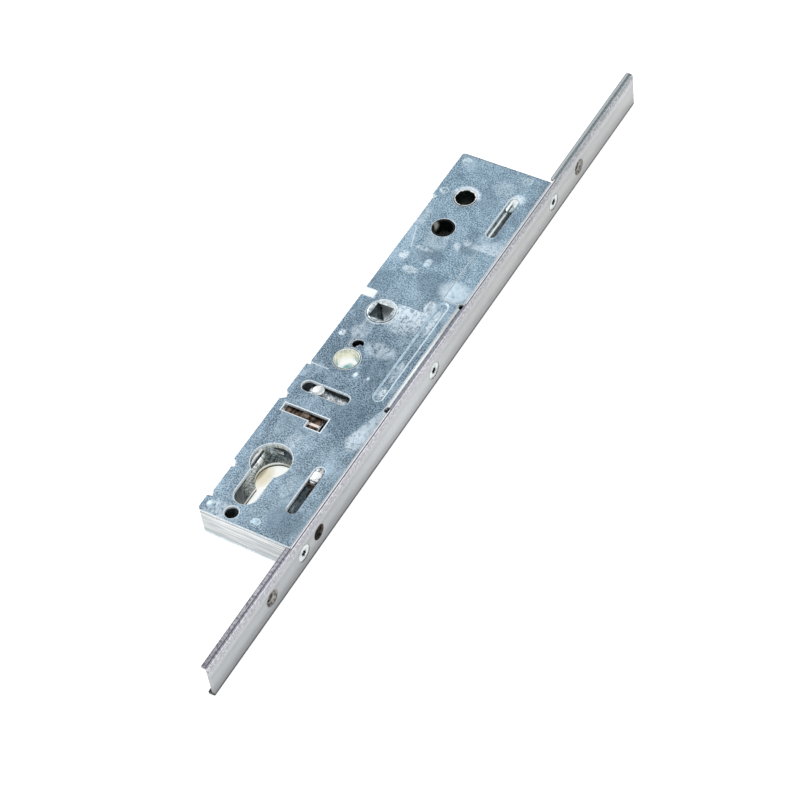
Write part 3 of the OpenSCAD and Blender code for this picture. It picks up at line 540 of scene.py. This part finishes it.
def cradle_casting(name):
    """Cast cradle of the cylinder: painted highlights at its foot and in a stripe, painted light above,
    painted shade at its mouth and narrow end.
    """
    f = Finish(name, rough=0.26)
    stains = f.noise(1.1, detail=5, rough=0.7, stretch=(1, 1, 5))
    share = f.ramp(stains, 0.40, 0.60)
    tone = f.blend(share, rgb(140, 150, 146), rgb(226, 232, 229))
    # painted shade, and a rougher surface, in the narrow end of the bore
    narrow = f.ramp(f.axis(Y), -9, -14)
    tone = f.blend(f.times(narrow, 0.85), tone, f.blend(share, rgb(64, 70, 76), rgb(112, 118, 122)))
    # painted shade just below the rim
    mouth = f.ramp(f.axis(Z), 4.5, 5.1, 0.0, 0.3)
    tone = f.blend(mouth, tone, f.blend(share, rgb(58, 66, 70), rgb(116, 126, 130)))
    angle = f.math("ARCTAN2", f.axis(Y), f.axis(X))
    # painted highlight: a vertical stripe on the bore wall
    stripe = f.times(f.between(angle, 2.6, 2.8, 0.03), 0.95)
    tone = f.blend(stripe, tone, rgb(255, 255, 253))
    # painted light on the upper part, which is also made less metallic
    upper = f.times(f.ramp(angle, 2.2, 1.4), f.ramp(f.axis(Y), 0.5, 2.5))
    tone = f.blend(f.times(upper, 0.8), tone, f.blend(share, rgb(196, 208, 202), rgb(246, 252, 248)))
    f.link(f.ramp(upper, 0.0, 1.0, 0.8, 0.15), f.shader.inputs["Metallic"])
    # painted highlight along the foot of the wall
    foot = f.band(Z, -6.7, -5.3, 0.12)
    tone = f.blend(f.times(foot, 0.9), tone, rgb(244, 245, 242))
    rough = f.math("ADD", f.ramp(stains, 0.3, 0.7, 0.18, 0.36), f.times(narrow, 0.35))
    return f.paint(tone, rough, stains, 0.03)


def bar_zinc(name):
    """Deadlock slide: stained zinc with a bright line and a dark one at its rear end."""
    f = Finish(name, metal=0.9, rough=0.28)
    stains = f.noise(1.3, detail=5, rough=0.7, warp=0.5)
    tone = f.blend(f.ramp(stains, 0.42, 0.58), rgb(136, 146, 152), rgb(242, 245, 247))
    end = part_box("deadlock_slide")[0].x / MM
    tone = f.blend(f.band(X, end, end + 0.7, 0.1), tone, rgb(252, 253, 253))
    tone = f.blend(f.band(X, end + 0.95, end + 1.35, 0.1), tone, rgb(30, 34, 36))
    return f.paint(tone, 0.28, stains, 0.03)


def brown_leaf(name):
    """Tempered spring leaf, brown, with a painted highlight along the fold across it."""
    f = Finish(name, metal=0.75, rough=0.36)
    stains = f.noise(1.8, detail=5, rough=0.7, warp=0.6)
    brown = f.blend(f.ramp(stains, 0.40, 0.60), rgb(38, 30, 28), rgb(132, 112, 96))
    # painted highlight along the leaf's fold
    fold_highlight = f.times(f.band(Y, 25.0, 26.3, 0.2), f.band(X, 1.2, 11, 0.4))
    return f.paint(f.blend(fold_highlight, brown, rgb(246, 236, 230)), 0.36, stains, 0.03)


def pin_zinc(name):
    """Bright pin of the deadlock slide; its lower peg is browned by grease."""
    f = Finish(name, metal=0.85, rough=0.3)
    stains = f.noise(1.4, detail=4, rough=0.65)
    share = f.ramp(stains, 0.38, 0.62)
    greasy = f.blend(share, rgb(60, 50, 46), rgb(134, 120, 110))
    bright = f.blend(share, rgb(190, 198, 200), rgb(248, 251, 251))
    return f.paint(f.blend(f.ramp(f.axis(Y), 31, 36), greasy, bright), 0.3, stains, 0.02)


def front_bend_zinc(name):
    """The rounded front of the cover between its relief holes: a painted highlight line, then grey painted
    shade as it turns down.
    """
    f = Finish(name, metal=0.8, rough=0.4)
    speckle = f.noise(1.0, detail=4, rough=0.7)
    share = f.ramp(speckle, 0.42, 0.58)
    rear = f.blend(share, rgb(146, 162, 174), rgb(190, 204, 214))
    front = f.blend(share, rgb(100, 110, 122), rgb(144, 152, 162))
    # painted shade: darker towards the front, where the bend turns down
    grey = f.blend(f.ramp(f.axis(X), 30.8, 31.7), rear, front)
    # painted highlight line along the bend
    line = f.ramp(f.axis(X), 30.75, 30.45)
    return f.paint(f.blend(line, grey, rgb(252, 253, 254)), 0.4, speckle, 0.01)


def materials():
    """Every material, by the name of its slot in the record or of its place."""
    return {
        "cover": cover_zinc("cover_zinc"),
        "galvanised_sheet": sheet_zinc("sheet_zinc"),
        "rim": rim_zinc("rim_zinc"),
        # cut edges: bare steel, painted brighter to stand for the highlights on them
        "edge": plated("punched_edge_and_highlight", rgb(208, 224, 234), rgb(242, 250, 254), rough=0.3, metal=0.35),
        # painted shade on the cut walls deep in the cylinder bore
        "bore_wall_shade": plated("bore_wall_shade", rgb(66, 56, 48), rgb(112, 98, 84), rough=0.4, metal=0.5),
        # painted highlights on the cover's pressed slopes, softer on the rear ones, and on its front edge
        "press": plated("pressed_soft_highlight", rgb(150, 176, 194), rgb(198, 220, 234), rough=0.35),
        "line": plated("pressed_highlight", rgb(208, 232, 246), rgb(240, 251, 255), rough=0.35, metal=0.5),
        "front_edge_highlight": plated("front_edge_highlight", rgb(246, 250, 252), rgb(255, 255, 255), rough=0.3, metal=0.3),
        # painted shade on faces and edges of the cover turned away from the light
        "fold": plated("folded_edge_shade", rgb(122, 122, 130), rgb(172, 172, 180), rough=0.4),
        "front_bend": front_bend_zinc("front_bend_zinc"),
        "satin_steel_strip": strip_steel("satin_strip"),
        "screw_hole": plated("screw_hole", rgb(40, 36, 34), rgb(182, 174, 166), rough=0.36, metal=0.6,
                             grain=1.2),
        # painted shade in the recess of each screw's head
        "screw_recess_shade": plated("screw_recess_shade", rgb(24, 24, 22), rgb(70, 70, 66), rough=0.4, metal=0.5),
        "bright_zinc": plated("bright_zinc", rgb(170, 178, 180), rgb(228, 232, 232), rough=0.26),
        "zinc_steel": plated("zinc_steel", rgb(128, 128, 124), rgb(176, 175, 170), rough=0.38),
        "rail": plated("greased_rail", rgb(50, 46, 42), rgb(122, 114, 106), rough=0.4, metal=0.7, grain=1.2),
        "bar": bar_zinc("slide_bar"),
        "slide": slide_zinc("greased_slide"),
        "lug": lug_zinc("lug_zinc"),
        "cradle": cradle_casting("cradle_casting"),
        "through_bush": through_bush_zinc("through_bush_zinc"),
        "follower": follower_casting("follower_casting"),
        "stake": plated("staked_end", rgb(110, 134, 150), rgb(196, 217, 230), rough=0.36, grain=1.3,
                        depth=0.05),
        "dark_steel": worn_bush("dark_bush"),
        "black_nylon": nylon("black_nylon"),
        "spring_steel": plated("spring_steel", rgb(96, 98, 102), rgb(150, 152, 156), rough=0.3),
        "brown_spring_steel": brown_leaf("brown_leaf"),
        "pin": pin_zinc("pin_zinc"),
    }


def clean_mesh(node):
    """A copy of a CAD node's mesh with its triangles joined into whole faces."""
    mesh = frame["nodes"][node].data.copy()
    work = bmesh.new()
    work.from_mesh(mesh)
    bmesh.ops.remove_doubles(work, verts=work.verts, dist=SAME_POINT)
    bmesh.ops.dissolve_limit(work, angle_limit=FLAT, verts=work.verts, edges=work.edges)
    work.to_mesh(mesh)
    work.free()
    mesh.materials.clear()
    return mesh


def baked(piece):
    """Applies the modifiers of a piece to its mesh."""
    graph = bpy.context.evaluated_depsgraph_get()
    mesh = bpy.data.meshes.new_from_object(piece.evaluated_get(graph))
    piece.modifiers.clear()
    piece.data = mesh
    return piece


def body_of(node):
    """The body of the record that a node belongs to."""
    groups = frame["record"]["behaviour"]["bodies"]
    return next(body for body, nodes in groups.items() if node in nodes)


def slot_of(node):
    """The material slot that the record gives a node."""
    rows = frame["record"]["subparts"]
    return next(row["material_slot"] for row in rows if row["node"] == node)


def rounded(node, finishes, width, choose=None, repaint=None):
    """The node with its sharp edges rounded, in the first finish; its new edge faces take the last one.

    choose gives the index of the finish for a face of the node, from its centre and normal, and repaint
    does the same for the new edge faces."""
    piece = bpy.data.objects.new(node + "_dressed", clean_mesh(node))
    bpy.context.scene.collection.objects.link(piece)
    for finish in finishes:
        piece.data.materials.append(finish)
    for face in piece.data.polygons:
        face.use_smooth = True
        if choose:
            face.material_index = choose(face.center / MM, face.normal)
    bevel = piece.modifiers.new("edges", "BEVEL")
    bevel.width = width * MM
    bevel.segments = 2
    bevel.limit_method = "ANGLE"
    bevel.angle_limit = SHARP
    bevel.use_clamp_overlap = False
    bevel.harden_normals = True
    bevel.material = len(finishes) - 1
    baked(piece)
    low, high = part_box(node)
    for vertex in piece.data.vertices:
        vertex.co = Vector(min(max(vertex.co[i], low[i]), high[i]) for i in (X, Y, Z))
    if repaint:
        for face in piece.data.polygons:
            if face.material_index == len(finishes) - 1:
                face.material_index = repaint(face.center / MM, face.normal)
    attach(piece, body_of(node))
    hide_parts(node)
    return piece


def plain_world():
    """White surroundings that give less light than they show."""
    light_given = 0.7
    world = bpy.data.worlds.new("surroundings")
    world.use_nodes = True
    bpy.context.scene.world = world
    tree = world.node_tree
    background = tree.nodes["Background"]
    background.inputs["Color"].default_value = (1, 1, 1, 1)
    path = tree.nodes.new("ShaderNodeLightPath")
    seen = path.outputs[SEEN_RAYS[0]]
    for ray in SEEN_RAYS[1:]:
        join = tree.nodes.new("ShaderNodeMath")
        join.operation = "MAXIMUM"
        tree.links.new(seen, join.inputs[0])
        tree.links.new(path.outputs[ray], join.inputs[1])
        seen = join.outputs[0]
    strength = tree.nodes.new("ShaderNodeMapRange")
    strength.inputs["To Min"].default_value = light_given
    strength.inputs["To Max"].default_value = 1.0
    tree.links.new(seen, strength.inputs["Value"])
    tree.links.new(strength.outputs[0], background.inputs["Strength"])


def floor():
    """A white floor that keeps a faint shadow under the lock, with a warm painted shadow and a darker one
    below the cylinder bore.
    """
    side, glow_strength = 6, 0.72
    bpy.ops.mesh.primitive_plane_add(size=side, location=(0, 0, FLOOR_Z))
    ground = bpy.context.object
    ground.name = "floor"
    f = Finish("floor_white", metal=0.0, rough=0.9)
    shade = f.times(f.band(X, -13, 30, 2), f.band(Y, -34, 30, 3))
    # painted shadows below the cylinder bore, seen through it: a warm one and a darker one in it
    warm = f.times(f.patch(-8, 2, 5, 8, 0.9), 0.9)
    dim = f.times(f.patch(-10.6, 3.6, 2.8, 7.5, 0.9), 0.75)
    tone = f.blend(shade, rgb(240, 240, 239), rgb(240, 240, 236))
    tone = f.blend(warm, tone, rgb(216, 208, 184))
    f.paint(f.blend(dim, tone, rgb(136, 126, 96)))
    # the floor's glow, lowered and warmed in the painted shadows
    glow = f.blend(shade, (1, 1, 1, 1), rgb(252, 252, 248))
    glow = f.blend(warm, glow, rgb(230, 222, 198))
    glow = f.blend(dim, glow, rgb(150, 140, 108))
    f.link(glow, f.shader.inputs["Emission Color"])
    path = f.node("ShaderNodeLightPath")
    seen = path.outputs[SEEN_RAYS[0]]
    for ray in SEEN_RAYS[1:]:
        seen = f.math("MAXIMUM", seen, path.outputs[ray])
    f.link(f.times(seen, glow_strength), f.shader.inputs["Emission Strength"])
    ground.data.materials.append(f.material)


def lamp(name, at, size, power):
    """A soft disk of light that faces the middle of the lock."""
    data = bpy.data.lights.new(name, "AREA")
    data.shape = "DISK"
    data.size = size
    data.energy = power
    light = bpy.data.objects.new(name, data)
    light.location = at
    light.rotation_euler = (LOCK_MIDDLE - light.location).to_track_quat("-Z", "Y").to_euler()
    bpy.context.scene.collection.objects.link(light)


def camera():
    """The camera of the photograph."""
    data = bpy.data.cameras.new("camera")
    data.lens = FOCAL_LENGTH
    data.sensor_width = SENSOR_WIDTH
    view = bpy.data.objects.new("camera", data)
    back = CAMERA_RIGHT.cross(CAMERA_UP).normalized()
    turn = Matrix((CAMERA_RIGHT.normalized(), back.cross(CAMERA_RIGHT).normalized(), back)).transposed()
    view.matrix_world = Matrix.Translation(CAMERA_AT) @ turn.to_4x4()
    bpy.context.scene.collection.objects.link(view)
    bpy.context.scene.camera = view


def within(value, span):
    """Whether a value lies inside a range."""
    return span[0] < value < span[1]


def on_bump(centre):
    """Whether a point lies on the pressed bump above the follower."""
    return within(centre.x, BUMP_X) and within(centre.y, BUMP_Y)


def cover_face(centre, normal):
    """Cut walls and chamfers of the openings and pressed slopes in painted highlights, softer on some slopes;
    painted shade on the turned-down front.
    """
    faces_front = normal.x > 0.9
    if faces_front and centre.x < 30.2 and within(centre.y, BEND_Y):
        return FOLDED
    wall = abs(normal.z) < 0.3
    if wall:
        return CUT
    if on_bump(centre):
        return PRESSED if normal.z < 0.9 else PLAIN
    near_top = centre.z >= PLATE_TOP - 0.6
    slope = 0.4 < normal.z < 0.88
    far_rim = within(centre.x, FAR_SLOPE_X) and not within(centre.y, BETWEEN_SLOTS_Y)
    if far_rim or not near_top or not slope:
        return PLAIN
    on_bead = within(centre.y, BEAD_SLOPE_Y)
    if on_bead and within(centre.x, BEAD_REAR_X):
        return PRESSED
    on_step = centre.x < 2 and within(centre.y, STEP_Y)
    if on_step or (on_bead and within(centre.x, BEAD_FRONT_X)):
        return LINED
    return CUT


def cover_edge(centre, normal):
    """The rounded edges of the cover: painted highlights, softer on the far side of the bead, painted shade
    on the far side of the guide slots.
    """
    if centre.x > 31 and normal.z > 0.1:
        return FRONT
    near_top = centre.z >= PLATE_TOP - 0.7
    if not near_top or normal.z < 0.2:
        return ROUNDED
    by_lug = within(centre.y, LOWER_LUG_Y) or within(centre.y, UPPER_LUG_Y)
    far_edge = by_lug and within(centre.x, FAR_EDGE_X)
    slot_end = centre.y < -18 and within(centre.x, SLOT_END_X)
    if far_edge or slot_end:
        return FOLDED
    if on_bump(centre):
        return PRESSED
    on_bead = within(centre.y, BEAD_EDGE_Y)
    if on_bead and within(centre.x, BEAD_REAR_X):
        return PRESSED
    return LINED if on_bead and within(centre.x, BEAD_FRONT_X) else ROUNDED


def plate_face(centre, normal):
    """Cut walls of the back plate, painted dark as shade in the cylinder bore."""
    if abs(normal.z) > 0.3:
        return MAIN
    in_bore = within(centre.x, BORE_X) and within(centre.y, BORE_Y)
    return DARK if in_bore else RIM


def strip_face(centre, normal):
    """The walls and countersinks of the open holes in the faceplate."""
    inside = any(abs(centre.y - y) < half and abs(centre.z) < half for y, half in OPEN_HOLES)
    return DARK if inside and normal.x < 0.97 else MAIN


def screw_face(centre, normal):
    """The recess in the middle of a screw's head."""
    in_recess = within(centre.x, RECESS_X) and abs(centre.z) < RECESS_HALF
    return DARK if in_recess else MAIN


def new_piece(name, work, finish):
    """A piece of the scene from a bmesh, in one finish."""
    bmesh.ops.recalc_face_normals(work, faces=work.faces)
    mesh = bpy.data.meshes.new(name)
    work.to_mesh(mesh)
    work.free()
    mesh.materials.append(finish)
    piece = bpy.data.objects.new(name, mesh)
    bpy.context.scene.collection.objects.link(piece)
    return piece


def front_bend():
    """The outer curve of the cover's front edge where it turns down, seen between the two relief holes."""
    low, high = 46.4, 107.9
    rear, bottom, top = 29.75, 6.8, PLATE_TOP - 0.01
    middle_x, middle_z, radius = 30.1, 6.28, 1.7
    steps, degrees = 8, 8
    outline = [(rear, bottom), (rear, top)]
    for step in range(steps + 1):
        angle = math.radians(90 - degrees * step)
        outline.append((middle_x + radius * math.cos(angle), middle_z + radius * math.sin(angle)))
    outline.append((outline[-1][0], bottom))
    work = bmesh.new()
    ends = [[work.verts.new(Vector((x, y, z)) * MM) for x, z in outline] for y in (low, high)]
    count = len(outline)
    for k in range(count):
        work.faces.new((ends[0][k], ends[0][(k + 1) % count], ends[1][(k + 1) % count], ends[1][k]))
    work.faces.new(ends[0][::-1])
    work.faces.new(ends[1])
    piece = new_piece("front_bend", work, looks["front_bend"])
    for face in piece.data.polygons:
        face.use_smooth = abs(face.normal.y) < 0.5
    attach(piece, "case")


def balance_spring():
    """Round spring wire in nine turns between the follower's tail and its seat, closed at both ends."""
    x, low, high = -9.2, 95.8, 124.6
    radius, wire, turns = 2.3, 0.4, 9
    steps, sides = 40, 12
    points = []
    for index in range(turns * steps + 1):
        turn = index / steps
        share = min(max((turn - 0.5) / (turns - 1.0), 0.0), 1.0)
        height = low + (high - low) * share
        angle = 2 * math.pi * turn
        points.append(Vector((x + radius * math.cos(angle), height, radius * math.sin(angle))) * MM)
    work = bmesh.new()
    rings = []
    for index, point in enumerate(points):
        ahead = (points[min(index + 1, len(points) - 1)] - points[max(index - 1, 0)]).normalized()
        out = Vector((point.x - x * MM, 0, point.z)).normalized()
        side = ahead.cross(out).normalized()
        out = side.cross(ahead)
        rings.append([work.verts.new(point + (out * math.cos(a) + side * math.sin(a)) * wire * MM)
                      for a in (2 * math.pi * k / sides for k in range(sides))])
    for one, two in zip(rings, rings[1:]):
        for k in range(sides):
            work.faces.new((one[k], one[(k + 1) % sides], two[(k + 1) % sides], two[k]))
    work.faces.new(rings[0][::-1])
    work.faces.new(rings[-1])
    piece = new_piece("spring_wire", work, looks["spring_steel"])
    for face in piece.data.polygons:
        face.use_smooth = True
    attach(piece, "case")
    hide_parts("balance_spring")
    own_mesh(piece)


def some(*names):
    """The finishes of those names."""
    return [looks[name] for name in names]


camera()
plain_world()
floor()
lamp("key", at=(-0.9, 0.3, 1.1), size=0.5, power=2.2)
lamp("fill", at=(0.9, -0.9, 0.7), size=0.6, power=1.6)

looks = materials()
rounded("case_cover", some(*COVER_LOOKS), width=0.16, choose=cover_face, repaint=cover_edge)
rounded("back_plate", some("galvanised_sheet", "bore_wall_shade", "edge"), width=0.12, choose=plate_face)
rounded("faceplate", some("satin_steel_strip", "screw_hole", "satin_steel_strip"), width=0.2,
        choose=strip_face)
rounded("faceplate_screws", some("bright_zinc", "screw_recess_shade", "bright_zinc"), width=0.1, choose=screw_face)
rounded("guide_lugs", some("lug", "lug"), width=0.3)
rounded("deadlock_pins", some("pin", "pin"), width=0.25)
for node in frame["nodes"]:
    if node not in DRESSED_APART:
        look = OWN_LOOKS.get(node, slot_of(node))
        rounded(node, some(look, look), width=NARROW_EDGES.get(node, EDGE_WIDTH))
front_bend()
balance_spring()

bpy.context.scene.view_settings.view_transform = "Standard"
